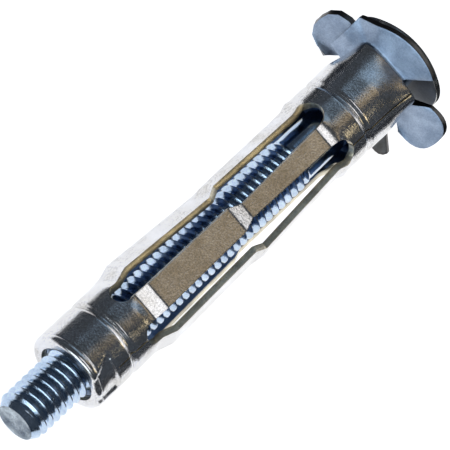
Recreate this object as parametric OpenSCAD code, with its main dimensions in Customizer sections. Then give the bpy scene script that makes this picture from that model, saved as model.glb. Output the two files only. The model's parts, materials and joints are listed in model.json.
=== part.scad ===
// Hollow wall anchor, M6 x 52: a machine screw in a slotted sheet-metal sleeve with a nut in its lower collar.
// The anchor lies on the ground on its lower collar and its rear claw. Millimetres, +Z up, +X from tip to head.

/* [Screw] */
// Gap between the top of the sleeve and the underside of the head
head_gap = 2.5; // [2:0.1:15]
// Crest diameter of the thread
thread_d = 5.84; // [5:0.02:6]
// Length of the threaded run from the tip
thread_length = 43.4; // [20:0.1:50]
// Diameter of the plain shank below the head
shank_d = 5.24; // [4.6:0.02:5.6]
// Diameter of the flat tip face
tip_d = 4.5; // [3:0.1:5.2]
// Length of the chamfer at the tip
tip_chamfer = 1.1; // [0.4:0.1:2]
// Diameter of the head
head_d = 11.8; // [10:0.1:14]
// Height of the straight rim of the head
head_rim = 0.6; // [0.3:0.1:1.5]
// Height of the dome above the rim
head_dome = 2.0; // [1:0.1:3.5]
// Span of the cross recess
recess_span = 6; // [4:0.1:7]
// Width of one wing of the recess
recess_width = 1.2; // [0.8:0.1:2]
// Depth of the recess from the top of the dome
recess_depth = 2.3; // [1:0.1:2.6]

/* [Sleeve collars] */
// Height of the sleeve's mouth above the tip of the screw
mouth_z = 7.9; // [4:0.1:12]
// Outer radius of both collars
collar_r = 4.74; // [4.5:0.01:5.5]
// Thickness of the sheet
wall = 0.75; // [0.6:0.05:1]
// Inner radius of the curled-in mouth
mouth_r = 3.45; // [3.1:0.05:3.9]
// Rounding of the mouth's outer edge
mouth_round = 0.5; // [0.2:0.05:0.7]
// Height of the rolled groove above the nut, from the mouth
lower_groove = 5.5; // [5:0.1:7]
// Depth of the rolled grooves
groove_depth = 0.28; // [0.1:0.02:0.45]
// Half width of the rolled grooves
groove_half = 0.55; // [0.3:0.05:0.9]
// Length of the lower collar from the mouth to the fold of the legs
lower_length = 9.7; // [8:0.1:12]
// Radius of the rounded lower ends of the slots
lower_slot_r = 1.2; // [0.8:0.05:1.5]
// Height of the upper collar's lower edge, from the mouth
upper_start = 38.1; // [30:0.1:45]
// Radius of the rounded upper ends of the slots
upper_slot_r = 1.65; // [1.2:0.05:1.9]
// Height of the rolled groove above the upper slots
upper_groove = 4.1; // [3:0.1:5]
// Height at which the upper collar starts to turn square
square_start = 7.7; // [6:0.1:9]
// Height of the part that turns square
square_length = 3.0; // [2:0.1:5]
// How far below that height the flats start
flat_lead = 0.3; // [0.1:0.05:0.8]
// Half width across the flats at the top
square_half = 4.2; // [3.9:0.05:4.6]
// Corner radius reached at the top
square_corner = 5.2; // [4.9:0.05:5.6]
// Width of the open seam
seam = 0.16; // [0.1:0.02:0.4]

/* [Legs] */
// Number of legs
legs = 5; // [4:1:6]
// Turn of the first leg about the axis
leg_turn = 7; // [0:1:70]
// Distance of the outer face from the axis at the lower fold
leg_root = 4.5; // [4.2:0.05:4.8]
// Distance of the outer face at the lower peak
leg_low_peak = 5.05; // [4.8:0.05:5.6]
// Distance of the outer face below the middle kink
leg_low_end = 4.42; // [4:0.02:4.7]
// Distance of the outer face above the middle kink
leg_high_peak = 4.8; // [4.5:0.05:5.4]
// Distance of the outer face at the upper fold
leg_high_end = 4.37; // [4.1:0.01:4.7]
// Sideways bow of the legs at the middle kink
leg_bow = 0.28; // [0:0.02:0.4]
// Direction of the bow about the axis
bow_turn = 90; // [0:5:355]
// Length of the lower facet
low_facet = 1.7; // [1:0.1:2.5]
// Length of the lower run of a leg
low_run = 12.6; // [8:0.1:16]
// Length of the facet at the middle kink
kink_facet = 1.4; // [1:0.1:2.5]
// Length of the facet at the upper collar
high_facet = 0.95; // [0.6:0.05:1.5]
// Half width of a leg at its lower end
leg_half_low = 1.67; // [1.4:0.01:1.8]
// Half width of a leg below the middle kink
leg_half_mid = 1.55; // [1.2:0.01:1.7]
// Half width of a leg above the middle kink
leg_half_kink = 0.93; // [0.7:0.01:1.2]
// Half width of a leg at the upper collar
leg_half_high = 1.25; // [0.9:0.01:1.4]

/* [Flange lobes] */
// Turn of the square top and its lobes about the axis
flange_turn = 5; // [0:1:15]
// Radius of the front lobe's rim
front_reach = 7.5; // [6.5:0.1:9]
// Half width of the front lobe where it leaves the square top
front_root = 2.9; // [2:0.1:3.5]
// Reach of the front lobe's left corner across the axis
front_left = 5.8; // [4:0.1:6.5]
// Reach of the front lobe's right corner across the axis
front_right = 3.5; // [2.5:0.1:4]
// How much shorter the front lobe's root is on its right side
front_trim = 0.7; // [0:0.1:1.5]
// Distance of the folded left corner beyond the front flat
corner_out = 0.6; // [0:0.1:1.5]
// Height of the folded left corner above the square top
corner_rise = 1.0; // [0.4:0.1:1.6]
// Length of the web behind the front lobe's left corner
web_back = 2.2; // [0:0.1:3]
// Rise of the front lobe from a flat flange, in degrees
front_rise = 25; // [0:1:40]
// Reach of the rear claw's right corner across the axis
rear_right = 6.9; // [4:0.1:7.5]
// Reach of the rear claw's left corner across the axis
rear_left = 3.8; // [3:0.1:6]
// Length of the rear claw
rear_length = 3.8; // [2:0.1:5]
// Half width of the rear claw where it leaves the square top
rear_root = 2.8; // [2:0.1:3.5]
// Length over which its sides flare at 45 degrees
rear_flare = 0.9; // [0.4:0.1:1.5]
// Chamfer of its corners
rear_chamfer = 0.8; // [0.2:0.1:1.2]
// Droop of the rear claw from a flat flange, in degrees
rear_droop = 38; // [20:1:55]
// Reach of the right claw from the axis
right_reach = 9.05; // [7:0.05:10]
// Reach of the left claw from the axis
left_reach = 8.75; // [7:0.05:10]
// Half width of the right claw's root on its front side
right_front = 1.5; // [1:0.1:3]
// Half width of the right claw's root on its rear side
right_back = 3.0; // [1:0.1:3]
// Half width of the left claw's root on its front side
left_front = 2.6; // [1:0.1:3]
// Half width of the left claw's root on its rear side
left_back = 1.6; // [1:0.1:3]
// Radius of the rounded end of the side claws
side_round = 2.85; // [2:0.05:3.6]
// Shift of the side claws' rounded ends towards the rear
side_shift = 0.3; // [0:0.1:1]
// Rise of the right claw's rounded end
right_rise = 0.6; // [-1:0.1:1.5]
// Rise of the left claw's rounded end
left_rise = 0.1; // [-1:0.1:1.5]
// Twist of the side claws, in degrees
side_twist = 19; // [0:1:25]

/* [Nut] */
// Length of the nut
nut_length = 4.1; // [3:0.1:6]
// Gap between the nut and the sheet round it
nut_gap = 0.04; // [0.02:0.01:0.1]
// Radial clearance of the screw in the nut
thread_gap = 0.05; // [0.02:0.01:0.09]
// Chamfer at the nut's bore
nut_chamfer = 0.4; // [0.1:0.05:0.6]

/* [Hidden] */
$fn = 64;
eps = 0.01;
over = 1;
inner_r = collar_r - wall;
lower_end = mouth_z + lower_length;
upper_z = mouth_z + upper_start;
top_z = upper_z + square_start + square_length;
groove_low_z = mouth_z + lower_groove;
groove_high_z = upper_z + upper_groove;
square_z = upper_z + square_start;
low_peak_z = lower_end + low_facet;
low_end_z = low_peak_z + low_run;
high_peak_z = low_end_z + kink_facet;
leg_pitch = 360 / legs;
leg_bed = 0.6;
leg_top_bed = 1;
leg_skin = 0.03;
fold_gap = 0.1;
slot_lift = 0.1;
seam_turn = leg_turn + leg_pitch / 2;
flat_z = square_z - flat_lead;
flat_lean = atan((collar_r - square_half) / (top_z - flat_z));
square_flare = (square_corner - collar_r) / square_length;
square_bed = 1;
square_over = 0.1;
root_bed = 0.4;
root_height = 0.5;
root_lap = 0.1;
root_skin = 0.05;
front_left_flare = 1;
front_right_flare = 0.6;
corner_size = 0.4;
web_start = 0.8;
web_inset = 0.2;
web_end_x = 0.6;
web_end_z = 0.5;
rear_edge_r = square_half + rear_length * cos(rear_droop) + wall * sin(rear_droop);
rear_edge_z = top_z - rear_length * sin(rear_droop) + wall * cos(rear_droop);
rest_z = mouth_z + mouth_round;
rest_tilt = atan((rear_edge_r - collar_r) / (rear_edge_z - rest_z));
head_ball = (head_d * head_d / 4 + head_dome * head_dome) / (2 * head_dome);
screw_length = top_z + head_gap;
head_top = screw_length + head_rim + head_dome;
middle_x = (head_top * cos(rest_tilt) - tip_d / 2 * sin(rest_tilt)) / 2;
nut_z = mouth_z + wall + nut_gap;

// Lays the upright anchor on the ground with its rear claw and lower collar down.
// The origin is on the ground, half way along the anchor.
module lay() {
    translate([-middle_x, 0, collar_r * cos(rest_tilt) - rest_z * sin(rest_tilt)])
        rotate([0, -rest_tilt, 0])
            rotate([180, 0, 0])
                rotate([0, 90, 0])
                    rotate([0, 0, -flange_turn])
                        children();
}

// Low domed head with its cross recess.
module screw_head() {
    difference() {
        union() {
            translate([0, 0, screw_length])
                cylinder(d = head_d, h = head_rim);
            intersection() {
                translate([0, 0, head_top - head_ball])
                    sphere(r = head_ball);
                translate([0, 0, screw_length + head_rim - eps])
                    cylinder(d = head_d, h = head_dome + over);
            }
        }
        for (turn = [0, 90]) {
            rotate([0, 0, turn])
                recess_wing();
        }
    }
}

// One wing of the recess, narrowing downwards.
module recess_wing() {
    translate([0, recess_width / 2, head_top - recess_depth])
        rotate([90, 0, 0])
            linear_extrude(height = recess_width)
                polygon([
                    [-recess_span / 6, 0],
                    [recess_span / 6, 0],
                    [recess_span / 2, recess_depth],
                    [recess_span / 2, recess_depth + over],
                    [-recess_span / 2, recess_depth + over],
                    [-recess_span / 2, recess_depth]
                ]);
}

module screw() {
    color([0.72, 0.75, 0.8]) lay() {
        rotate_extrude()
            polygon([
                [0, 0],
                [tip_d / 2, 0],
                [thread_d / 2, tip_chamfer],
                [thread_d / 2, thread_length],
                [shank_d / 2, thread_length + (thread_d - shank_d) / 2],
                [shank_d / 2, screw_length + eps],
                [0, screw_length + eps]
            ]);
        screw_head();
    }
}

// Round slots at one end of the legs, cut towards the legs by the given length.
module slots(radius, length) {
    for (i = [0 : legs - 1]) {
        rotate([0, 0, seam_turn + i * leg_pitch]) {
            rotate([0, 90, 0])
                cylinder(r = radius, h = collar_r + over, $fn = 48);
            translate([0, -radius, min(0, length)])
                cube([collar_r + over, 2 * radius, abs(length)]);
        }
    }
}

// Lower collar: curled-in mouth, rolled groove over the nut, slot ends.
module lower_collar() {
    difference() {
        rotate_extrude()
            polygon(concat(
                [[mouth_r, mouth_z + wall], [mouth_r, mouth_z]],
                [for (a = [-90 : 22.5 : 0]) [
                    collar_r - mouth_round + mouth_round * cos(a),
                    mouth_z + mouth_round + mouth_round * sin(a)
                ]],
                [
                    [collar_r, groove_low_z - groove_half],
                    [collar_r - groove_depth, groove_low_z - groove_half / 4],
                    [collar_r - groove_depth, groove_low_z + groove_half / 4],
                    [collar_r, groove_low_z + groove_half],
                    [collar_r, lower_end - fold_gap],
                    [inner_r, lower_end - fold_gap],
                    [inner_r, groove_low_z + groove_half],
                    [inner_r - groove_depth, groove_low_z + groove_half / 4],
                    [inner_r - groove_depth, groove_low_z - groove_half / 4],
                    [inner_r, groove_low_z - groove_half],
                    [inner_r, mouth_z + wall]
                ]
            ));
        translate([0, 0, lower_end - leg_bed + eps])
            slots(lower_slot_r, leg_bed + over);
    }
}

// Upper collar: slot ends, rolled groove, and the round part below the square top.
module upper_collar() {
    difference() {
        rotate_extrude()
            polygon([
                [inner_r, upper_z],
                [collar_r, upper_z],
                [collar_r, groove_high_z - groove_half],
                [collar_r - groove_depth, groove_high_z - groove_half / 4],
                [collar_r - groove_depth, groove_high_z + groove_half / 4],
                [collar_r, groove_high_z + groove_half],
                [collar_r, square_z - square_bed + eps],
                [inner_r, square_z - square_bed + eps],
                [inner_r, groove_high_z + groove_half],
                [inner_r - groove_depth, groove_high_z + groove_half / 4],
                [inner_r - groove_depth, groove_high_z - groove_half / 4],
                [inner_r, groove_high_z - groove_half]
            ]);
        translate([0, 0, upper_z + slot_lift])
            slots(upper_slot_r, -over);
    }
}

// Solid that turns from round to square, drawn in by the depth and lengthened at both ends.
module square_body(depth, longer) {
    difference() {
        rotate_extrude()
            polygon([
                [0, square_z - square_bed - longer],
                [collar_r - depth, square_z - square_bed - longer],
                [collar_r - depth, square_z],
                [square_corner - depth + square_flare * longer, top_z + longer],
                [0, top_z + longer]
            ]);
        for (i = [0 : 3]) {
            rotate([0, 0, flange_turn + 90 * i])
                translate([collar_r - depth, 0, flat_z])
                    rotate([0, -flat_lean, 0])
                        translate([0, -square_corner - over, -2 * over])
                            cube([square_corner, 2 * (square_corner + over), square_length + 4 * over]);
        }
    }
}

// Square top of the upper collar.
module square_top() {
    difference() {
        square_body(0, 0);
        square_body(wall, square_over);
    }
}

// One leg: a flat strip with two peaks, narrower above the middle kink, moved out there by the bow.
module leg(bow) {
    intersection() {
        translate([0, leg_half_low + over, 0])
            rotate([90, 0, 0])
                linear_extrude(height = 2 * (leg_half_low + over))
                    polygon([
                        [leg_root - wall, lower_end - leg_bed],
                        [leg_root, lower_end - leg_bed],
                        [leg_root, lower_end],
                        [leg_low_peak, low_peak_z],
                        [leg_low_end + bow, low_end_z],
                        [leg_high_peak + bow, high_peak_z],
                        [leg_high_end, upper_z - high_facet / 2],
                        [collar_r - leg_skin, upper_z + high_facet / 2],
                        [collar_r - leg_skin, upper_z + leg_top_bed],
                        [inner_r, upper_z + leg_top_bed],
                        [leg_high_end - wall, upper_z - high_facet / 2],
                        [leg_high_peak + bow - wall, high_peak_z],
                        [leg_low_end + bow - wall, low_end_z],
                        [leg_low_peak - wall, low_peak_z],
                        [leg_root - wall, lower_end]
                    ]);
        rotate([0, 90, 0])
            linear_extrude(height = leg_low_peak + over)
                polygon([
                    [-(lower_end - leg_bed), -leg_half_low],
                    [-low_end_z, -leg_half_mid],
                    [-high_peak_z, -leg_half_kink],
                    [-upper_z, -leg_half_high],
                    [-(upper_z + leg_top_bed + over), -leg_half_high],
                    [-(upper_z + leg_top_bed + over), leg_half_high],
                    [-upper_z, leg_half_high],
                    [-high_peak_z, leg_half_kink],
                    [-low_end_z, leg_half_mid],
                    [-(lower_end - leg_bed), leg_half_low]
                ]);
    }
}

// Bar on top of one flat, from which a lobe is bent.
module lobe_root(left, right) {
    translate([square_half - wall, -left, top_z - root_bed])
        cube([wall, left + right, root_bed + root_height]);
}

// Front lobe: a fan that rises towards the head.
module front_lobe() {
    lobe_root(front_root + root_lap, front_root - front_trim + root_lap);
    hull() {
        translate([square_half - wall, 0, top_z])
            rotate([0, -front_rise, 0])
                linear_extrude(height = wall)
                    intersection() {
                        translate([wall - square_half, 0])
                            circle(r = front_reach / cos(front_rise / 2), $fn = 72);
                        polygon([
                            [root_lap, -front_root],
                            [front_reach, -front_left - front_left_flare],
                            [front_reach, front_right + front_right_flare],
                            [root_lap, front_root - front_trim]
                        ]);
                    }
        front_corner();
    }
}

// Folded corner between the front lobe and the web behind it.
module front_corner() {
    translate([square_half + corner_out, -front_left, top_z + corner_rise])
        cube([corner_size, corner_size, wall]);
}

// Web from the folded corner back along the left flat.
module front_web() {
    hull() {
        translate([square_half - web_inset - web_start, root_lap - square_half, top_z - root_lap])
            cube([web_start, wall, wall]);
        translate([-web_back, root_lap - square_half, top_z - root_lap])
            cube([web_end_x, wall, web_end_z]);
        front_corner();
    }
}

// Rear claw: a wide lobe bent past flat towards the tip.
module rear_claw() {
    lobe_root(rear_root + root_lap, rear_root + root_lap);
    translate([square_half, 0, top_z])
        rotate([0, rear_droop, 0])
            linear_extrude(height = wall)
                polygon([
                    [-root_bed, -rear_root],
                    [rear_flare, -rear_root - rear_flare],
                    [rear_length - rear_chamfer, -rear_right],
                    [rear_length, rear_chamfer - rear_right],
                    [rear_length, rear_left - rear_chamfer],
                    [rear_length - rear_chamfer, rear_left],
                    [-root_bed, rear_root]
                ]);
}

// Side claw with a rounded end, twisted so that its front edge stands towards the head.
module side_claw(front, back, reach, rise) {
    lobe_root(back, front);
    hull() {
        translate([square_half - wall + root_skin, -back, top_z])
            cube([wall - 2 * root_skin, front + back, root_height - root_skin]);
        translate([reach - side_round, -side_shift, top_z + rise])
            rotate([side_twist, 0, 0])
                cylinder(r = side_round, h = wall, center = true, $fn = 32);
    }
}

module sleeve() {
    color([0.66, 0.68, 0.72]) lay() {
        difference() {
            union() {
                lower_collar();
                upper_collar();
                square_top();
                for (i = [0 : legs - 1]) {
                    rotate([0, 0, leg_turn + i * leg_pitch])
                        leg(leg_bow * cos(leg_turn + i * leg_pitch - bow_turn));
                }
                rotate([0, 0, flange_turn]) {
                    front_lobe();
                    front_web();
                }
                rotate([0, 0, flange_turn + 90])
                    mirror([0, 1, 0])
                        side_claw(right_front, right_back, right_reach, right_rise);
                rotate([0, 0, flange_turn + 180])
                    rear_claw();
                rotate([0, 0, flange_turn - 90])
                    side_claw(left_front, left_back, left_reach, left_rise);
            }
            rotate([0, 0, seam_turn])
                translate([mouth_r - over, -seam / 2, mouth_z - over])
                    cube([square_corner - mouth_r + 2 * over, seam, top_z]);
        }
    }
}

module nut() {
    color([0.6, 0.66, 0.74]) lay()
        rotate_extrude()
            polygon([
                [thread_d / 2 + thread_gap + nut_chamfer, nut_z],
                [inner_r - nut_gap, nut_z],
                [inner_r - nut_gap, nut_z + nut_length],
                [thread_d / 2 + thread_gap, nut_z + nut_length],
                [thread_d / 2 + thread_gap, nut_z + nut_chamfer]
            ]);
}

screw();
sleeve();
nut();
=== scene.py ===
"""Looks of a hollow wall anchor: screw, folded sheet sleeve and captive nut on a pale floor."""

import json
import math

import bmesh
import bpy
import numpy as np
from mathutils import Matrix, Vector


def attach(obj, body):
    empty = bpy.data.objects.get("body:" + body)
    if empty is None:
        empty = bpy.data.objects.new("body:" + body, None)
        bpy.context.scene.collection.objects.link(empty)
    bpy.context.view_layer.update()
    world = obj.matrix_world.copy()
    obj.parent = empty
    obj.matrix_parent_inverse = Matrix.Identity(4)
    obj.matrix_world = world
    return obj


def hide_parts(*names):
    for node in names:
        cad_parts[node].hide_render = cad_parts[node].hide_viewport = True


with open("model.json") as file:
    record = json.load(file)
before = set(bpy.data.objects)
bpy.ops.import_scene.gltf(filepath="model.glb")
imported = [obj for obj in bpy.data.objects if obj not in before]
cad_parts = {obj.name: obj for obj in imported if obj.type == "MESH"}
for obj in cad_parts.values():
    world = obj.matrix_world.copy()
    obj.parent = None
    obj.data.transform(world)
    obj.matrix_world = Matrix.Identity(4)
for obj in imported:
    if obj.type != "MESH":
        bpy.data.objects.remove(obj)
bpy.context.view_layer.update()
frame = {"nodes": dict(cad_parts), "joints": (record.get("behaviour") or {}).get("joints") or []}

MM = 0.001

# Screw, in millimetres from its tip.
SCREW_LENGTH = 59.2
THREAD_LENGTH = 43.4
THREAD_RUNOUT = 1.4
PITCH = 1.0
CREST_R = 2.92
ROOT_R = 2.42
SHANK_R = 2.62
SHANK_LAP = 0.2
TIP_R = 2.25
TIP_CHAMFER = 1.1
HEAD_R = 5.9
HEAD_RIM = 0.6
HEAD_DOME = 2.0
HEAD_EDGE = 0.14
RECESS_SPAN = 6.0
RECESS_WIDTH = 1.2
RECESS_DEPTH = 2.3
RECESS_FOOT = RECESS_SPAN / 3
RECESS_OVER = 0.3
SEAT_TOLERANCE = 0.02

# One flank of the thread, as (share of the half pitch from crest to root, radius).
FLANK = ((0.125, CREST_R), (0.875, ROOT_R))

# Steps of the screw's meshes, and the angles above which their edges stay sharp, in degrees.
SCREW_STEPS = 72
PITCH_ROWS = 16
TIP_RINGS = 9
RIM_STEP = 18
DOME_STEPS = 20
THREAD_SHARP = 38
HEAD_SHARP = 35

# Sleeve: collars.
WALL = 0.75
COLLAR_R = 4.74
MOUTH_Z = 7.9
MOUTH_R = 3.45
MOUTH_ROUND = 0.5
MOUTH_LIP = 0.25
MOUTH_EASE = 0.15
SCORE_Z = 8.75
SCORE_DEPTH = 0.05
SCORE_HALF = 0.12
GROOVES = (13.4, 50.1)
GROOVE_DEPTH = 0.28
GROOVE_HALF = 0.55
SLOT_LOW_Z = 17.0
SLOT_LOW_R = 1.3
SLOT_HIGH_Z = 46.1
SLOT_HIGH_R = 1.7
SQUARE_Z = 53.4
TOP_Z = 56.7
SQUARE_HALF = 4.2
SQUARE_POWER = 5.4
SQUARE_EASE = 1.1
SEAM = 0.16
SEAM_START = 11.15

# Section of a rolled groove, as (share of its half width, share of its depth).
GROOVE_SHAPE = (
    (-1.2, 0.0),
    (-1.0, 0.06),
    (-0.1, 0.96),
    (0.05, 1.0),
    (0.2, 0.94),
    (0.8, 0.08),
    (1.0, 0.0),
)

# Tab pressed in over the seam. Its left edge is slanted, its top fades out between two heights,
# and its face has shallow waves near the mouth. Angles are about the axis.
CRIMP_DEPTH = 0.44
CRIMP_TOP = (10.5, 11.1)
CRIMP_LEFT = 14.0
CRIMP_LEFT_Z = 10.95
CRIMP_SLANT = 5.8
CRIMP_EDGE = 7.0
CRIMP_RIGHT = (74.0, 86.0)
CRIMP_WAVE = 0.10
CRIMP_WAVES = 9
CRIMP_WAVE_TOP = (8.4, 9.6)

# Sleeve: legs. The path has (height, distance of the outer face from the axis), and the halves
# have (height, half the width). The side legs bow towards one side over the run, and the legs are
# flat between the starts and ends of FLAT_START and FLAT_END.
LEGS = 5
LEG_TURN = 7.0
LEG_PATH = (
    (17.0, 4.50),
    (17.6, 4.50),
    (19.3, 5.05),
    (31.9, 4.42),
    (33.3, 4.80),
    (45.5, 4.37),
    (46.45, 4.71),
    (47.8, 4.71),
)
LEG_HALF = ((17.0, 1.678), (31.9, 1.55), (33.3, 0.93), (45.5, 1.22), (46.1, 1.278))
LEG_BOW = 0.28
BOW_TURN = 90.0
BOW_RUN = (19.3, 31.9, 33.3, 45.5)
FLAT_START = (16.3, 17.6)
FLAT_END = (46.4, 47.4)
BEND_REACH = 0.18
BEND_WEIGHTS = (1, 2, 3, 4, 3, 2, 1)

# Steps of the sleeve's mesh: columns in each leg's sector, rows in millimetres, arcs in degrees,
# rows in half a groove and past its edge, and rows along a lobe's bend and its blade.
COLUMNS = 24
COLLAR_ROW = 0.3
LEG_ROW = 0.5
CRIMP_ROW = 0.1
CRIMP_ROWS = 7
BEND_ROWS = (-0.30, -0.20, -0.13, -0.06, 0.0, 0.06, 0.13, 0.20, 0.30)
ROW_GAP = 0.03
MOUTH_STEP = 15
SLOT_STEP = 10
GROOVE_ROWS = 6
GROOVE_ROWS_OUT = 8
LOBE_BEND_ROWS = 5
LOBE_BLADE_ROWS = 9

# Sleeve: lobes of the flange. Heights of points are from the top of the square.
FLANGE_TURN = 5.0
FRONT_REACH = 7.5
FRONT_RISE = 25.0
FRONT_ROOT = 3.45
FRONT_LEFT = -5.3
FRONT_SPAN = 8.8
FRONT_STEPS = 12
FRONT_CORNER = (5.0, -6.03, 1.0)
WEB_RIM = ((-0.6, -6.0, -0.9), (2.6, -5.96, -0.5), (4.2, -6.0, 0.4), FRONT_CORNER)
SIDE_ROUND = 2.85
SIDE_POWER = 2.6
SIDE_TWIST = 19.0
SIDE_SHIFT = 0.3
SIDE_ARC = 200
SIDE_STEPS = 24
RIGHT_REACH = 9.05
RIGHT_RISE = 0.6
LEFT_REACH = 8.75
LEFT_RISE = 0.1
REAR_DROOP = 38.0
REAR_OUTLINE = ((2.9, -6.9), (3.3, -6.8), (3.8, -6.2), (3.8, 3.1), (3.4, 3.7), (2.9, 3.8))
LOBE_LIFT = 0.22
LOBE_BEND = 0.35
WEB_BEND = 1.1
BEND_LIMIT = 0.6

# How far the collar's top edge lies below the square top, as (angle about the axis, drop).
WEB_DROP = ((-112, 0), (-104, 0.3), (-98, 0.7), (-95, 1.2), (-92, 1.55), (-64, 0.85), (-41, 0))
DROP_EASE = 1.5

# First and last column of the sheet that each lobe leaves from. The front lobe follows the web.
WEB_FIRST = -21
WEB_SHARP = -5
FRONT_FIRST = -3
FRONT_LAST = 18
RIGHT_COLUMNS = (35, 53)
REAR_COLUMNS = (60, 83)
LEFT_COLUMNS = (89, 97)

# Rounding of the sheet's cut edges, and the angle above which its edges stay sharp, in degrees.
EDGE_ROUND = 0.15
EDGE_ANGLE = 55
EDGE_SEGMENTS = 2
SLEEVE_SHARP = 40

# Distance in metres below which points of a mesh are one.
MERGE = 2e-7

# Camera: the anchor's axis, tilted towards the viewer, runs up and to the right. Angles are in
# degrees, the clip distances in metres, and the rest is in millimetres.
VIEW_TILT = 24.5
VIEW_ROLL = 43.43
LOOK_AT = (0.0, 0.06, 32.52)
FIELD = 46.58
CAMERA_DISTANCE = 1500.0
CAMERA_SENSOR = 36.0
CAMERA_CLIP = (0.05, 20.0)

# Floor: half its side in metres, its colours, and the share of its white that is its own.
FLOOR_HALF = 4.0
FLOOR_COLOUR = (0.86, 0.88, 0.92, 1)
FLOOR_GLOW = 0.9
GLOW_COLOUR = (1.0, 1.0, 1.0, 1)

# Dark card over the floor beyond a window round the anchor, which only the metal's reflections
# show:
# painted shade in its reflections. Its window, along the axis and across it, and its reach are in
# millimetres, and its height above the floor is in metres.
WINDOW_HEIGHTS = (-13.0, 63.0)
WINDOW_WIDTHS = (-30.0, 26.0)
SHADE_CARD_REACH = 900.0
SHADE_CARD_LIFT = 0.0002
REFLECTION_SHADE_COLOUR = (0.08, 0.085, 0.10, 1)

# Dim light of the room.
WORLD_COLOUR = (0.72, 0.84, 1.0, 1)
WORLD_STRENGTH = 0.08

# Lamps: turn about the axis and lean towards the head in degrees, distance and size in metres,
# radiance, colour, and the height on the axis that the lamp looks at in millimetres.
LAMPS = {
    "key": (14, -13, 0.6, (0.45, 0.20), 1.5, (1.0, 1.0, 1.0), 30.0),
    "warm": (12, 32, 0.6, (0.24, 0.14), 0.45, (1.0, 0.74, 0.38), 30.0),
    "cool": (-20, 44, 0.6, (0.50, 0.32), 0.45, (0.50, 0.74, 1.0), 30.0),
    "end": (65, 74, 0.5, (0.34, 0.34), 1.4, (1.0, 1.0, 1.0), 30.0),
    "tip": (0, -72, 0.5, (0.44, 0.28), 2.6, (0.80, 0.92, 1.0), 30.0),
    "gold": (46, 25, 0.055, (0.012, 0.022), 2.4, (1.0, 0.82, 0.48), 31.0),
}

# Zinc plate: light tint, dark tint, roughness, strength of the grain, and darkest speckle.
ZINCS = {
    "screw_zinc": ((0.58, 0.70, 0.86), (0.40, 0.51, 0.66), 0.15, 0.25, 0.8),
    "head_zinc": ((0.66, 0.66, 0.64), (0.46, 0.45, 0.42), 0.22, 0.30, 0.8),
    "sleeve_zinc": ((0.84, 0.84, 0.87), (0.67, 0.65, 0.63), 0.17, 0.44, 0.69),
    # Painted shade: the lobes' zinc, darker and bluer than the sleeve's, for the shaded floor they
    # reflect.
    "lobe_painted_shade": ((0.35, 0.43, 0.56), (0.20, 0.26, 0.36), 0.34, 0.8, 0.8),
    # Inside of the sheet and backs of the lobes: rougher unpolished zinc, darkened and blued as
    # painted shade.
    "inner_painted_shade": ((0.30, 0.42, 0.64), (0.18, 0.26, 0.42), 0.34, 0.4, 0.8),
    "edge_zinc": ((0.95, 0.88, 0.70), (0.52, 0.47, 0.38), 0.30, 0.7, 0.8),
    # Painted shade: near black under the head, for the shadow over the sleeve's open top.
    "seat_painted_shade": ((0.14, 0.15, 0.17), (0.07, 0.08, 0.09), 0.40, 0.4, 0.8),
    # Painted shade: the rear claw, near black for the shade it lies in; the lobes' cut edges share
    # it.
    "rear_painted_shade": ((0.10, 0.095, 0.095), (0.05, 0.045, 0.04), 0.32, 0.5, 0.8),
    "tip_zinc": ((0.66, 0.74, 0.80), (0.10, 0.14, 0.20), 0.40, 1.0, 0.5),
    "nut_zinc": ((0.42, 0.52, 0.70), (0.28, 0.36, 0.52), 0.25, 0.30, 0.8),
}

# Noise in the zinc: scales for each metre, ranges of the noise's value, shares of the roughness
# that it runs between, and heights of the bumps in metres.
MOTTLE = {"Scale": 420.0, "Detail": 4.0, "Roughness": 0.6}
GRAIN = {"Scale": 5200.0, "Detail": 2.0, "Roughness": 0.7}
DENTS = {"Scale": 700.0, "Detail": 2.0}
MOTTLE_RANGE = (0.35, 0.65)
SPECKLE_RANGE = (0.38, 0.62)
ROUGH_RANGE = (0.7, 1.4)
GRAIN_HEIGHT = 0.00004
DENT_HEIGHT = 0.00006
DENT_STRENGTH = 0.25

# Material slots of the sleeve's sheet, whose outside has slot 0. Solidify adds INNER_SLOT to a
# face's own slot for its back and EDGE_SLOT for its cut edge, up to the last slot. So the back of
# a lobe has slot 3, and the cut edges of the lobes have slot 5, the rear claw's own painted shade.
# The outside of the lobes holds painted shade.
LOBE_SHADE_SLOT = 1
# The back of the sheet and of the lobes holds painted shade over rougher unpolished zinc.
INNER_SLOT = 2
EDGE_SLOT = 4
REAR_SHADE_SLOT = 5

# Material slot of the tip's face on the shank and of the painted shade on the seat under the head.
END_SLOT = 1


def radial(turn):
    """Unit vector square to the axis at an angle about it."""
    angle = math.radians(turn)
    return Vector((math.cos(angle), math.sin(angle), 0))


def lay_matrix():
    """From the upright anchor, in millimetres with its tip at the origin, to the row frame."""
    joint = frame["joints"][0]
    axis = Vector(joint["axis"]).normalized()
    tip = Vector(joint["pos_m"]) - axis * SCREW_LENGTH / 2 * MM
    side = Vector((0, -1, 0))
    up = side.cross(axis)
    turn = math.radians(FLANGE_TURN)
    x_axis = up * math.cos(turn) - side * math.sin(turn)
    y_axis = up * math.sin(turn) + side * math.cos(turn)
    columns = Matrix((x_axis * MM, y_axis * MM, axis * MM)).transposed().to_4x4()
    return Matrix.Translation(tip) @ columns


LAY = lay_matrix()


def smooth(low, high, value):
    """0 below low, 1 above high and a smooth step between."""
    x = min(1.0, max(0.0, (value - low) / (high - low)))
    return x * x * (3 - 2 * x)


def along(path, value):
    """Height of a broken line of (x, y) points at x = value."""
    xs = [p[0] for p in path]
    ys = [p[1] for p in path]
    return float(np.interp(value, xs, ys))


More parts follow.
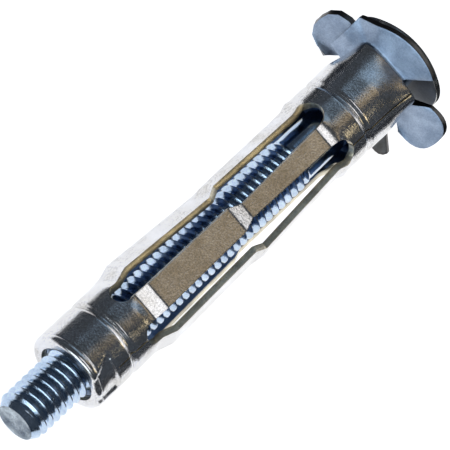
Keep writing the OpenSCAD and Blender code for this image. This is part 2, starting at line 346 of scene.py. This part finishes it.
def resample(points, count):
    """The points of a broken line, spread evenly along it."""
    points = [np.array(p, float) for p in points]
    steps = [float(np.linalg.norm(b - a)) for a, b in zip(points, points[1:])]
    reached = np.concatenate([[0], np.cumsum(steps)])
    wanted = np.linspace(0, reached[-1], count)
    axes = np.stack(points).T
    return [np.array([np.interp(w, reached, axis) for axis in axes]) for w in wanted]


def make_object(name, vertices, faces, body):
    """A mesh object in the row frame from vertices in upright millimetres."""
    mesh = bpy.data.meshes.new(name)
    mesh.from_pydata([LAY @ Vector(v) for v in vertices], [], faces)
    mesh.update()
    obj = bpy.data.objects.new(name, mesh)
    bpy.context.scene.collection.objects.link(obj)
    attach(obj, body)
    return obj


def clean(obj, closed=True):
    """Merges doubled points, drops flat faces and points a closed mesh's normals outwards."""
    work = bmesh.new()
    work.from_mesh(obj.data)
    bmesh.ops.remove_doubles(work, verts=work.verts, dist=MERGE)
    bmesh.ops.dissolve_degenerate(work, edges=work.edges, dist=MERGE)
    if closed:
        bmesh.ops.recalc_face_normals(work, faces=work.faces)
    work.to_mesh(obj.data)
    work.free()


def apply_modifiers(obj):
    """Bakes the object's modifiers into its mesh."""
    graph = bpy.context.evaluated_depsgraph_get()
    baked = bpy.data.meshes.new_from_object(obj.evaluated_get(graph))
    obj.modifiers.clear()
    obj.data = baked


def shade(obj, angle):
    """Smooth shading with sharp edges above an angle in degrees."""
    obj.data.shade_smooth()
    obj.data.set_sharp_from_angle(angle=math.radians(angle))


def paint(obj, *materials):
    """Gives the object these materials, in the order of its slots."""
    obj.data.materials.clear()
    for material in materials:
        obj.data.materials.append(material)


# --- Screw ---------------------------------------------------------------------------------


def thread_radius(share):
    """Radius of the rolled thread at a share of one pitch from the middle of its root."""
    across = abs(share - 0.5) * 2
    return along(FLANK, across)


def thread_envelope(height):
    """Largest radius of the screw at a height above its tip."""
    if height < TIP_CHAMFER:
        return TIP_R + (CREST_R - TIP_R) * height / TIP_CHAMFER
    return CREST_R


def make_thread(*materials):
    """Shank with its helical thread and rough sheared tip."""
    rows = int(THREAD_LENGTH / PITCH + 3) * PITCH_ROWS
    vertices, faces = [], []
    for i in range(SCREW_STEPS):
        turn = 2 * math.pi * i / SCREW_STEPS
        for m in range(rows):
            height = PITCH * ((m / PITCH_ROWS - 1) + i / SCREW_STEPS)
            radius = thread_radius((m / PITCH_ROWS) % 1.0)
            fade = smooth(THREAD_LENGTH - THREAD_RUNOUT, THREAD_LENGTH, height)
            radius = radius * (1 - fade) + SHANK_R * fade
            height = min(max(height, 0.0), THREAD_LENGTH)
            radius = min(radius, thread_envelope(height))
            vertices.append((radius * math.cos(turn), radius * math.sin(turn), height))
    for i in range(SCREW_STEPS):
        ahead = (i + 1) % SCREW_STEPS
        shift = PITCH_ROWS if ahead == 0 else 0
        for m in range(rows - 1 - shift):
            a = i * rows + m
            b = ahead * rows + m + shift
            faces.append((a, b, b + 1, a + 1))
    tip_start = len(faces)
    add_lathe(vertices, faces, [(TIP_R * (1 - k / TIP_RINGS), 0.0) for k in range(TIP_RINGS)])
    last = len(vertices) - SCREW_STEPS
    vertices.append((0, 0, 0))
    for i in range(SCREW_STEPS):
        faces.append((last + i, last + (i + 1) % SCREW_STEPS, len(vertices) - 1))
    tip_end = len(faces)
    add_lathe(vertices, faces, ((SHANK_R, THREAD_LENGTH), (SHANK_R, SCREW_LENGTH + SHANK_LAP)))
    obj = make_object("screw_shank", vertices, faces, "screw")
    paint(obj, *materials)
    for face in obj.data.polygons[tip_start:tip_end]:
        face.material_index = END_SLOT
    clean(obj)
    shade(obj, THREAD_SHARP)
    return obj


def add_lathe(vertices, faces, profile):
    """Adds the surface that a profile of (radius, height) points sweeps round the axis."""
    start = len(vertices)
    for radius, height in profile:
        for i in range(SCREW_STEPS):
            turn = 2 * math.pi * i / SCREW_STEPS
            vertices.append((radius * math.cos(turn), radius * math.sin(turn), height))
    for k in range(len(profile) - 1):
        for i in range(SCREW_STEPS):
            j = (i + 1) % SCREW_STEPS
            a = start + k * SCREW_STEPS
            faces.append((a + i, a + j, a + SCREW_STEPS + j, a + SCREW_STEPS + i))


def make_head():
    """Low domed head with rounded edges and a cross recess."""
    rim_z = SCREW_LENGTH + HEAD_RIM
    profile = [(0.0, SCREW_LENGTH)]
    profile += [
        (
            HEAD_R - HEAD_EDGE + HEAD_EDGE * math.sin(math.radians(a)),
            SCREW_LENGTH + HEAD_EDGE - HEAD_EDGE * math.cos(math.radians(a)),
        )
        for a in range(0, 91, RIM_STEP)
    ]
    ball = (HEAD_R**2 + HEAD_DOME**2) / (2 * HEAD_DOME)
    half = math.asin(HEAD_R / ball)
    for k in range(DOME_STEPS + 1):
        angle = half * (1 - k / DOME_STEPS)
        height = rim_z + HEAD_DOME - ball * (1 - math.cos(angle))
        profile.append((ball * math.sin(angle), height))
    vertices, faces = [], []
    add_lathe(vertices, faces, profile)
    obj = make_object("screw_head", vertices, faces, "screw")
    clean(obj)
    wings = [make_recess_wing(turn, rim_z + HEAD_DOME) for turn in (0, 90)]
    for wing in wings:
        cut = obj.modifiers.new("recess", "BOOLEAN")
        cut.operation = "DIFFERENCE"
        cut.solver = "EXACT"
        cut.object = wing
    bpy.context.view_layer.update()
    apply_modifiers(obj)
    for wing in wings:
        bpy.data.objects.remove(wing)
    shade(obj, HEAD_SHARP)
    return obj


def make_recess_wing(turn, top):
    """One wing of the cross recess, narrowing downwards, as a tool to cut with."""
    outward, across = radial(turn), radial(turn + 90) * RECESS_WIDTH / 2
    vertices = []
    for height, span in ((-RECESS_DEPTH, RECESS_FOOT), (RECESS_OVER, RECESS_SPAN)):
        middle = Vector((0, 0, top + height))
        for u, v in ((-1, -1), (1, -1), (1, 1), (-1, 1)):
            vertices.append(tuple(outward * (span / 2) * u + across * v + middle))
    faces = [(3, 2, 1, 0), (4, 5, 6, 7), (0, 1, 5, 4), (1, 2, 6, 5), (2, 3, 7, 6), (3, 0, 4, 7)]
    wing = make_object("recess_wing", vertices, faces, "screw")
    clean(wing)
    return wing


# --- Sleeve --------------------------------------------------------------------------------


def mouth_rows():
    """(radius, height) rows round the curled-in mouth, from its inner edge to the collar's side."""
    radii = (MOUTH_R, MOUTH_R + MOUTH_LIP, COLLAR_R - MOUTH_ROUND - MOUTH_EASE)
    rows = [(radius, MOUTH_Z) for radius in radii]
    for a in range(-90, 1, MOUTH_STEP):
        angle = math.radians(a)
        rows.append((
            COLLAR_R - MOUTH_ROUND + MOUTH_ROUND * math.cos(angle),
            MOUTH_Z + MOUTH_ROUND + MOUTH_ROUND * math.sin(angle),
        ))
    return rows


def spread(low, high, step, extra=()):
    """Heights from low to high, about a step apart, with extra heights between."""
    count = max(1, round((high - low) / step))
    heights = {round(low + (high - low) * k / count, 4) for k in range(count + 1)}
    heights |= {round(h, 4) for h in extra if low < h < high}
    kept = []
    for h in sorted(heights):
        if kept and h - kept[-1] < ROW_GAP:
            continue
        kept.append(h)
    return kept


def groove_heights(middle):
    """Rows across a rolled groove, past both of its edges."""
    rows = range(-GROOVE_ROWS_OUT, GROOVE_ROWS_OUT + 1)
    return [middle + GROOVE_HALF * k / GROOVE_ROWS for k in rows]


def groove_dip(height):
    """Depth of the rolled grooves and the score line at a height."""
    shares = [along(GROOVE_SHAPE, (height - middle) / GROOVE_HALF) for middle in GROOVES]
    dip = sum(GROOVE_DEPTH * share for share in shares)
    if abs(height - SCORE_Z) < SCORE_HALF:
        dip += SCORE_DEPTH * (0.5 + 0.5 * math.cos(math.pi * (height - SCORE_Z) / SCORE_HALF))
    return dip


def crimp_dip(turn, height):
    """Depth of the tab that is pressed in over the seam, beside the mouth."""
    left = CRIMP_LEFT + (CRIMP_LEFT_Z - height) * CRIMP_SLANT
    across = smooth(left, left + CRIMP_EDGE, turn) * (1 - smooth(*CRIMP_RIGHT, turn))
    wave = CRIMP_WAVE * math.sin(math.radians(turn * CRIMP_WAVES))
    wave *= 1 - smooth(*CRIMP_WAVE_TOP, height)
    return (CRIMP_DEPTH + wave) * across * (1 - smooth(*CRIMP_TOP, height))


def square_radius(turn):
    """Distance of the square top's outline from the axis."""
    angle = math.radians(turn - FLANGE_TURN)
    c, s = abs(math.cos(angle)), abs(math.sin(angle))
    return SQUARE_HALF / (c**SQUARE_POWER + s**SQUARE_POWER) ** (1 / SQUARE_POWER)


def round_radius(turn, height):
    """Outer radius of the collars at a place on them."""
    radius = COLLAR_R - groove_dip(height)
    if height < CRIMP_TOP[1]:
        radius -= crimp_dip(turn, height)
    if height > SQUARE_Z:
        share = ((height - SQUARE_Z) / (TOP_Z - SQUARE_Z)) ** SQUARE_EASE
        radius = radius * (1 - share) + square_radius(turn) * share
    return radius


def leg_heights():
    """Rows of the legs: close together at the bends and apart on the flats."""
    heights = []
    for height, _ in LEG_PATH[1:-1]:
        heights += [height + row for row in BEND_ROWS]
    return spread(SLOT_LOW_Z, SLOT_HIGH_Z, LEG_ROW, heights)


def leg_distance(height):
    """Distance of a leg's outer face from the axis, with small rounded bends."""
    samples = [along(LEG_PATH, height + BEND_REACH * k / 3) for k in range(-3, 4)]
    return sum(s * w for s, w in zip(samples, BEND_WEIGHTS)) / sum(BEND_WEIGHTS)


def bow_share(height):
    """Share of a leg's sideways bow at a height."""
    return along(list(zip(BOW_RUN, (0, 1, 1, 0))), height)


def sleeve_rows():
    """All rows of the folded sheet up to its square top, as dictionaries."""
    pitch_half = math.pi * COLLAR_R / LEGS
    rows = [{"round": r, "z": z, "half": pitch_half} for r, z in mouth_rows()]
    low_end = SLOT_LOW_Z - SLOT_LOW_R
    extra = groove_heights(GROOVES[0]) + [SCORE_Z + SCORE_HALF * k / 2 for k in range(-2, 3)]
    extra += [CRIMP_TOP[0] + CRIMP_ROW * k for k in range(CRIMP_ROWS)]
    for z in spread(MOUTH_Z + MOUTH_ROUND, low_end, COLLAR_ROW, extra)[1:]:
        rows.append({"z": z, "half": pitch_half})
    for a in range(SLOT_STEP, 90, SLOT_STEP):
        angle = math.radians(a)
        z = SLOT_LOW_Z - SLOT_LOW_R * math.cos(angle)
        rows.append({"z": z, "half": pitch_half - SLOT_LOW_R * math.sin(angle)})
    for z in leg_heights():
        rows.append({"z": z, "half": along(LEG_HALF, z)})
    for a in range(90 - SLOT_STEP, -1, -SLOT_STEP):
        angle = math.radians(a)
        z = SLOT_HIGH_Z + SLOT_HIGH_R * math.cos(angle)
        rows.append({"z": z, "half": pitch_half - SLOT_HIGH_R * math.sin(angle)})
    high_end = SLOT_HIGH_Z + SLOT_HIGH_R
    for z in spread(high_end, TOP_Z, COLLAR_ROW, groove_heights(GROOVES[1]))[1:]:
        rows.append({"z": z, "half": pitch_half})
    return rows


def top_drop(turn):
    """How far the collar's top edge lies below the square top, where the web leaves it."""
    return along(WEB_DROP, (turn + 180) % 360 - 180)


def sheet_point(sector, share, row):
    """Point on the sleeve's outer face: a share from -1 to 1 across one leg's sector."""
    z = row["z"]
    half = row["half"]
    beside_seam = (sector, share > 0) in ((0, True), (1, False))
    if beside_seam and z > SEAM_START:
        half = min(half, math.pi * COLLAR_R / LEGS - SEAM / 2)
    offset = share * half
    leg = LEG_TURN + 360 / LEGS * sector
    turn = leg + math.degrees(offset / COLLAR_R)
    if "round" in row:
        radius = row["round"]
        radius -= crimp_dip(turn, z) * smooth(MOUTH_R, COLLAR_R, radius)
    else:
        radius = round_radius(turn, z)
    point = radial(turn) * radius
    if z > SQUARE_Z:
        sunk = z - top_drop(turn) * ((z - SQUARE_Z) / (TOP_Z - SQUARE_Z)) ** DROP_EASE
        return (point.x, point.y, sunk)
    flatness = smooth(*FLAT_START, z) * (1 - smooth(*FLAT_END, z))
    if flatness:
        bow = LEG_BOW * math.cos(math.radians(leg - BOW_TURN)) * bow_share(z)
        flat = radial(leg) * (leg_distance(z) + bow) + radial(leg + 90) * offset
        point = point.lerp(flat, flatness)
    return (point.x, point.y, z)


def flange_point(turn, out, across, height):
    """Point beside one flat of the square top, from distances out from the axis and across it."""
    point = radial(FLANGE_TURN + turn) * out + radial(FLANGE_TURN + turn + 90) * across
    return np.array((point.x, point.y, height))


def front_rim():
    """Outer edge of the front lobe, from its folded left corner to its right corner."""
    slope = math.tan(math.radians(FRONT_RISE))
    points = []
    for k in range(FRONT_STEPS + 1):
        across = FRONT_LEFT + FRONT_SPAN * k / FRONT_STEPS
        out = math.sqrt(FRONT_REACH**2 - across**2)
        points.append(flange_point(0, out, across, TOP_Z + (out - FRONT_ROOT) * slope))
    x, y, rise = FRONT_CORNER
    points[0] = np.array((x, y, TOP_Z + rise))
    return points


def web_rim():
    """Outer edge of the web, from its rear end to the front lobe's folded corner."""
    return [np.array((x, y, TOP_Z + rise)) for x, y, rise in WEB_RIM]


def claw_rim(turn, side, reach, rise):
    """Rounded end of a side claw, twisted so that its front edge stands towards the head."""
    slope = math.tan(math.radians(SIDE_TWIST))
    lower = TOP_Z + rise - WALL / 2
    points = []
    for k in range(SIDE_STEPS + 1):
        angle = math.radians(SIDE_ARC / 2 - SIDE_ARC * k / SIDE_STEPS)
        c, s = math.cos(angle), math.sin(angle)
        size = SIDE_ROUND / (abs(c) ** SIDE_POWER + abs(s) ** SIDE_POWER) ** (1 / SIDE_POWER)
        out = reach - SIDE_ROUND + size * c
        q = size * s
        points.append(flange_point(turn, out, side * (q - SIDE_SHIFT), lower + q * slope))
    return points


def rear_rim():
    """Outline of the rear claw, which droops past flat."""
    c, s = math.cos(math.radians(REAR_DROOP)), math.sin(math.radians(REAR_DROOP))
    points = []
    for length, across in REAR_OUTLINE:
        out = SQUARE_HALF + length * c
        points.append(flange_point(180, out, across, TOP_Z - length * s))
    return points


def lobes():
    """Each lobe as (first column, points of its outer edge, slot), with one point a column."""
    web = resample(web_rim(), FRONT_FIRST - WEB_FIRST + 1)
    front = resample(front_rim(), FRONT_LAST - FRONT_FIRST + 1)
    made = [(WEB_FIRST, web[:-1] + front, LOBE_SHADE_SLOT)]
    for (first, last), rim, slot in (
        (RIGHT_COLUMNS, claw_rim(90, -1, RIGHT_REACH, RIGHT_RISE), LOBE_SHADE_SLOT),
        (REAR_COLUMNS, rear_rim(), REAR_SHADE_SLOT),
        (LEFT_COLUMNS, claw_rim(270, 1, LEFT_REACH, LEFT_RISE)[::-1], LOBE_SHADE_SLOT),
    ):
        made.append((first, resample(rim, last - first + 1), slot))
    return made


def lobe_column(start, before, rim, reach):
    """Points from the top of the square round a small bend and out to the rim."""
    up = (start - before) / np.linalg.norm(start - before)
    corner = start + up * LOBE_LIFT
    away = rim - corner
    length = float(np.linalg.norm(away))
    bend_end = corner + away / length * min(reach, length * BEND_LIMIT)
    points = []
    for k in range(1, LOBE_BEND_ROWS + 1):
        b = k / LOBE_BEND_ROWS
        points.append(start * (1 - b) ** 2 + corner * 2 * b * (1 - b) + bend_end * b * b)
    for k in range(1, LOBE_BLADE_ROWS + 1):
        points.append(bend_end + (rim - bend_end) * k / LOBE_BLADE_ROWS)
    return points


def make_sleeve(*materials):
    """The sleeve's folded sheet with its thickness and rounded cut edges."""
    vertices, faces = [], []
    rows = sleeve_rows()
    width = COLUMNS + 1
    for sector in range(LEGS):
        for row in rows:
            for k in range(width):
                vertices.append(sheet_point(sector, -1 + 2 * k / COLUMNS, row))
    for sector in range(LEGS):
        for m in range(len(rows) - 1):
            base = (sector * len(rows) + m) * width
            for k in range(COLUMNS):
                faces.append((base + k, base + k + 1, base + width + k + 1, base + width + k))
    slots = [0] * len(faces)

    def top_index(column, down):
        """Number of the point of a column that lies some rows below the sheet's top edge."""
        sector, k = divmod(column % (LEGS * COLUMNS), COLUMNS)
        return (sector * len(rows) + len(rows) - 1 - down) * width + k

    for first, rim, slot in lobes():
        columns = []
        for column, edge in enumerate(rim, first):
            start = np.array(vertices[top_index(column, 0)])
            before = np.array(vertices[top_index(column, 1)])
            reach = WEB_BEND if column < WEB_SHARP else LOBE_BEND
            points = lobe_column(start, before, edge, reach)
            base = len(vertices)
            vertices += [tuple(p) for p in points]
            columns.append([top_index(column, 0)] + list(range(base, base + len(points))))
        for one, two in zip(columns, columns[1:]):
            for k in range(len(one) - 1):
                faces.append((one[k], two[k], two[k + 1], one[k + 1]))
                slots.append(slot)
    obj = make_object("sleeve_sheet", vertices, faces, "sleeve")
    paint(obj, *materials)
    obj.data.polygons.foreach_set("material_index", slots)
    clean(obj, closed=False)
    thicken(obj)
    return obj


def thicken(obj):
    """Gives a sheet its thickness, inwards, and rounds its cut edges."""
    thick = obj.modifiers.new("thickness", "SOLIDIFY")
    thick.thickness = WALL * MM
    thick.offset = -1
    thick.use_even_offset = True
    thick.material_offset = INNER_SLOT
    thick.material_offset_rim = EDGE_SLOT
    edges = obj.modifiers.new("edges", "BEVEL")
    edges.limit_method = "ANGLE"
    edges.angle_limit = math.radians(EDGE_ANGLE)
    edges.width = EDGE_ROUND * MM
    edges.segments = EDGE_SEGMENTS
    bpy.context.view_layer.update()
    apply_modifiers(obj)
    shade(obj, SLEEVE_SHARP)


# --- Materials -----------------------------------------------------------------------------


def node(tree, kind, **inputs):
    """A shader node with its input values set by name."""
    made = tree.nodes.new(kind)
    for name, value in inputs.items():
        made.inputs[name.replace("_", " ")].default_value = value
    return made


def math_node(tree, operation, first, second):
    """Output of a math node on a socket and either a second socket or a number."""
    made = tree.nodes.new("ShaderNodeMath")
    made.operation = operation
    tree.links.new(first, made.inputs[0])
    if isinstance(second, float):
        made.inputs[1].default_value = second
    else:
        tree.links.new(second, made.inputs[1])
    return made.outputs[0]


def zinc(name, light, dark, roughness, grain, speckle):
    """Bright zinc plate: mottled tint, fine grain and small dents."""
    material = bpy.data.materials.new(name)
    material.use_nodes = True
    tree = material.node_tree
    shader = tree.nodes["Principled BSDF"]
    shader.inputs["Metallic"].default_value = 1.0
    place = tree.nodes.new("ShaderNodeTexCoord")
    mottle = node(tree, "ShaderNodeTexNoise", **MOTTLE)
    ramp = tree.nodes.new("ShaderNodeValToRGB")
    for stop, position, colour in zip(ramp.color_ramp.elements, MOTTLE_RANGE, (dark, light)):
        stop.position = position
        stop.color = (*colour, 1)
    fine = node(tree, "ShaderNodeTexNoise", **GRAIN)
    low, high = SPECKLE_RANGE
    dots = node(tree, "ShaderNodeMapRange", From_Min=low, From_Max=high, To_Min=speckle)
    mixed = tree.nodes.new("ShaderNodeMix")
    mixed.data_type = "RGBA"
    mixed.blend_type = "MULTIPLY"
    mixed.inputs[0].default_value = 1.0
    low, high = (roughness * share for share in ROUGH_RANGE)
    rough = node(tree, "ShaderNodeMapRange", To_Min=low, To_Max=high)
    bump = node(tree, "ShaderNodeBump", Strength=grain, Distance=GRAIN_HEIGHT)
    dents = node(tree, "ShaderNodeTexNoise", **DENTS)
    dent_bump = node(tree, "ShaderNodeBump", Strength=DENT_STRENGTH, Distance=DENT_HEIGHT)
    for source in (mottle, fine, dents):
        tree.links.new(place.outputs["Object"], source.inputs["Vector"])
    tree.links.new(mottle.outputs["Fac"], ramp.inputs["Fac"])
    tree.links.new(fine.outputs["Fac"], dots.inputs["Value"])
    tree.links.new(ramp.outputs["Color"], mixed.inputs[6])
    tree.links.new(dots.outputs["Result"], mixed.inputs[7])
    tree.links.new(mixed.outputs[2], shader.inputs["Base Color"])
    tree.links.new(fine.outputs["Fac"], rough.inputs["Value"])
    tree.links.new(rough.outputs["Result"], shader.inputs["Roughness"])
    tree.links.new(dents.outputs["Fac"], dent_bump.inputs["Height"])
    tree.links.new(fine.outputs["Fac"], bump.inputs["Height"])
    tree.links.new(dent_bump.outputs["Normal"], bump.inputs["Normal"])
    tree.links.new(bump.outputs["Normal"], shader.inputs["Normal"])
    return material


# --- Studio --------------------------------------------------------------------------------


def make_floor():
    """Pale floor that looks white and keeps the anchor's shadow."""
    mesh = bpy.data.meshes.new("floor")
    corners = ((-1, -1), (1, -1), (1, 1), (-1, 1))
    points = [(x * FLOOR_HALF, y * FLOOR_HALF, 0) for x, y in corners]
    mesh.from_pydata(points, [], [(0, 1, 2, 3)])
    floor = bpy.data.objects.new("floor", mesh)
    bpy.context.scene.collection.objects.link(floor)
    material = bpy.data.materials.new("floor")
    material.use_nodes = True
    tree = material.node_tree
    shader = tree.nodes["Principled BSDF"]
    shader.inputs["Base Color"].default_value = FLOOR_COLOUR
    shader.inputs["Roughness"].default_value = 1.0
    shader.inputs["Specular IOR Level"].default_value = 0.0
    shader.inputs["Emission Color"].default_value = GLOW_COLOUR
    rays = tree.nodes.new("ShaderNodeLightPath").outputs
    seen = math_node(tree, "MAXIMUM", rays["Is Camera Ray"], rays["Is Glossy Ray"])
    seen = math_node(tree, "MAXIMUM", seen, rays["Is Transmission Ray"])
    glow = math_node(tree, "MULTIPLY", seen, FLOOR_GLOW)
    tree.links.new(glow, shader.inputs["Emission Strength"])
    paint(floor, material)


def make_reflection_shade_card():
    """Painted shade in the metal's reflections: a dark card beyond a window of white floor round
    the anchor.
    """
    low_t, high_t = WINDOW_HEIGHTS
    low_y, high_y = WINDOW_WIDTHS
    far = SHADE_CARD_REACH
    corners = [(low_t, low_y), (high_t, low_y), (high_t, high_y), (low_t, high_y)]
    corners += [(-far, -far), (far, -far), (far, far), (-far, far)]
    points = [LAY @ Vector((0, y, t)) for t, y in corners]
    faces = [(k, (k + 1) % 4, 4 + (k + 1) % 4, 4 + k) for k in range(4)]
    mesh = bpy.data.meshes.new("reflection_shade_card")
    mesh.from_pydata([(p.x, p.y, SHADE_CARD_LIFT) for p in points], [], faces)
    card = bpy.data.objects.new("reflection_shade_card", mesh)
    bpy.context.scene.collection.objects.link(card)
    card.visible_camera = False
    card.visible_diffuse = False
    card.visible_shadow = False
    material = bpy.data.materials.new("reflection_shade_card")
    material.use_nodes = True
    shader = material.node_tree.nodes["Principled BSDF"]
    shader.inputs["Base Color"].default_value = REFLECTION_SHADE_COLOUR
    shader.inputs["Roughness"].default_value = 1.0
    shader.inputs["Specular IOR Level"].default_value = 0.0
    paint(card, material)


def make_world():
    """Dark studio room."""
    world = bpy.data.worlds.new("studio")
    bpy.context.scene.world = world
    world.use_nodes = True
    background = world.node_tree.nodes["Background"]
    background.inputs["Color"].default_value = WORLD_COLOUR
    background.inputs["Strength"].default_value = WORLD_STRENGTH


def add_lamp(name, turn, lean, distance, size, radiance, colour, height):
    """Soft lamp that looks at a height on the axis, from a turn about it and a lean along it."""
    lamp = bpy.data.lights.new(name, "AREA")
    lamp.shape = "RECTANGLE"
    lamp.size, lamp.size_y = size
    lamp.energy = radiance * math.pi * size[0] * size[1]
    lamp.color = colour
    obj = bpy.data.objects.new(name, lamp)
    bpy.context.scene.collection.objects.link(obj)
    c, s = math.cos(math.radians(lean)), math.sin(math.radians(lean))
    away = radial(turn) * c + Vector((0, 0, s))
    side = radial(turn + 90)
    turned = LAY.to_3x3()
    axes = [(turned @ v).normalized() for v in (side, away.cross(side), away)]
    place = Matrix(axes).transposed().to_4x4()
    place.translation = LAY @ Vector((0, 0, height)) + axes[2] * distance
    obj.matrix_world = place
    obj.visible_camera = False


def make_camera():
    """Long-lens camera at the reference viewing angle."""
    tilt, roll = math.radians(VIEW_TILT), math.radians(VIEW_ROLL)
    back = Vector((math.cos(tilt), 0, -math.sin(tilt)))
    lengthwise = Vector((math.sin(tilt), 0, math.cos(tilt)))
    across = Vector((0, 1, 0))
    right = lengthwise * math.cos(roll) + across * math.sin(roll)
    up = lengthwise * math.sin(roll) - across * math.cos(roll)
    turn = LAY.to_3x3()
    axes = [(turn @ v).normalized() for v in (right, up, back)]
    camera = bpy.data.cameras.new("camera")
    camera.sensor_width = CAMERA_SENSOR
    camera.lens = camera.sensor_width * CAMERA_DISTANCE / FIELD
    camera.clip_start, camera.clip_end = CAMERA_CLIP
    obj = bpy.data.objects.new("camera", camera)
    bpy.context.scene.collection.objects.link(obj)
    place = Matrix(axes).transposed().to_4x4()
    place.translation = LAY @ (Vector(LOOK_AT) + back * CAMERA_DISTANCE)
    obj.matrix_world = place
    bpy.context.scene.camera = obj


def paint_seat_shade(head):
    """Gives the flat underside of the head its own slot, which holds painted shade."""
    seat = LAY @ Vector((0, 0, SCREW_LENGTH))
    along_axis = (LAY.to_3x3() @ Vector((0, 0, 1))).normalized()
    for face in head.data.polygons:
        if (face.center - seat).dot(along_axis) < SEAT_TOLERANCE * MM:
            face.material_index = END_SLOT


# --- The anchor in its studio --------------------------------------------------------------

zincs = {name: zinc(name, *values) for name, values in ZINCS.items()}

shank = make_thread(zincs["screw_zinc"], zincs["tip_zinc"])
head = make_head()
sleeve = make_sleeve(
    zincs["sleeve_zinc"],
    zincs["lobe_painted_shade"],
    zincs["inner_painted_shade"],
    zincs["inner_painted_shade"],
    zincs["edge_zinc"],
    zincs["rear_painted_shade"],
)
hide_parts("screw")
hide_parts("screw")
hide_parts("sleeve")
paint(head, zincs["head_zinc"], zincs["seat_painted_shade"])
paint_seat_shade(head)
paint(frame["nodes"]["nut"], zincs["nut_zinc"])

make_floor()
make_world()
for name, values in LAMPS.items():
    add_lamp(name, *values)
make_reflection_shade_card()
make_camera()

scene = bpy.context.scene
scene.view_settings.view_transform = "Standard"
